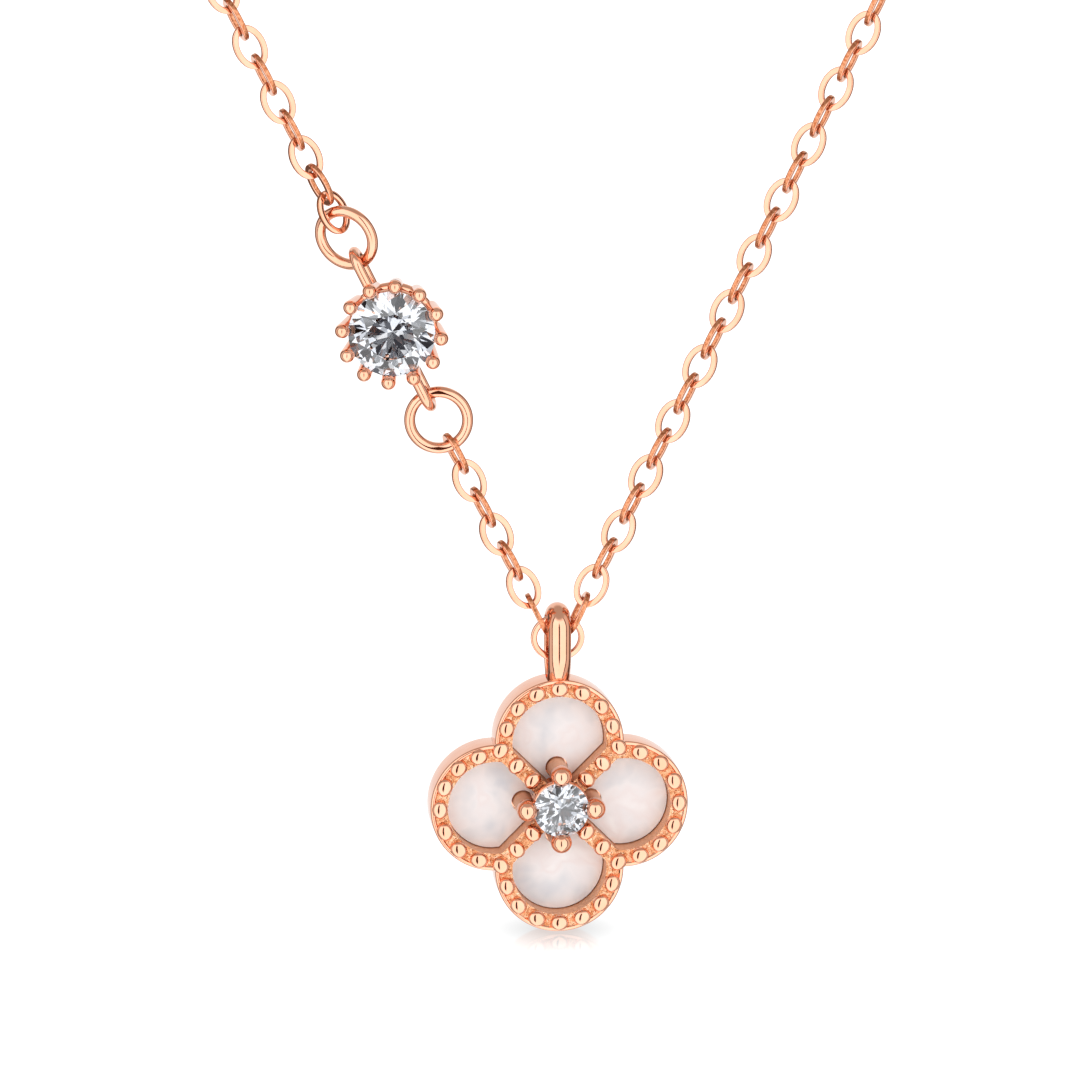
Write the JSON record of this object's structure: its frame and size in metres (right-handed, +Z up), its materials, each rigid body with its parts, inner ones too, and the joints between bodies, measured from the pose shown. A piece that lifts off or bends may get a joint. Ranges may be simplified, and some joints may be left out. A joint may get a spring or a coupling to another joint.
{
  "type": "flower pendant necklace",
  "caption": "Rose-gold necklace: a four-petal beaded flower pendant with mother-of-pearl inlays and a centre stone, hanging on a fine cable chain with a side stone in a prong crown",
  "frame": {"origin": "the inner side of the clasp at the nape, where the loop sits on the back of the neck", "axes": "+Z is up, the flower hangs at the front and faces -Y, and +X is to the right of a viewer who stands in front"},
  "size_m": [0.1092, 0.1106, 0.1154],
  "materials": {
    "rose_gold": "polished rose-gold plate on silver, with a granular cast ground between the beads",
    "mother_of_pearl": "polished white shell with soft pink, grey and blue clouds",
    "cubic_zirconia": "clear, polished round brilliant cut"
  },
  "bodies": {
    "chain": {"left_back_chain": "rose_gold", "left_chain": "rose_gold", "upper_jump_ring": "rose_gold", "station_setting": "rose_gold", "station_stone": "cubic_zirconia", "lower_jump_ring": "rose_gold", "main_chain": "rose_gold", "right_back_chain": "rose_gold", "end_ring": "rose_gold", "clasp": "rose_gold"},
    "pendant": {"flower_frame": "rose_gold", "shell_top": "mother_of_pearl", "shell_left": "mother_of_pearl", "shell_bottom": "mother_of_pearl", "shell_right": "mother_of_pearl", "centre_stone": "cubic_zirconia"}
  },
  "joints": [
    {"name": "pendant_swing", "type": "hinge", "parent": "chain", "child": "pendant", "pos_m": [0, -0.10655, -0.10042], "axis": [1, 0, 0], "range_deg": [-15, 15]}
  ]
}
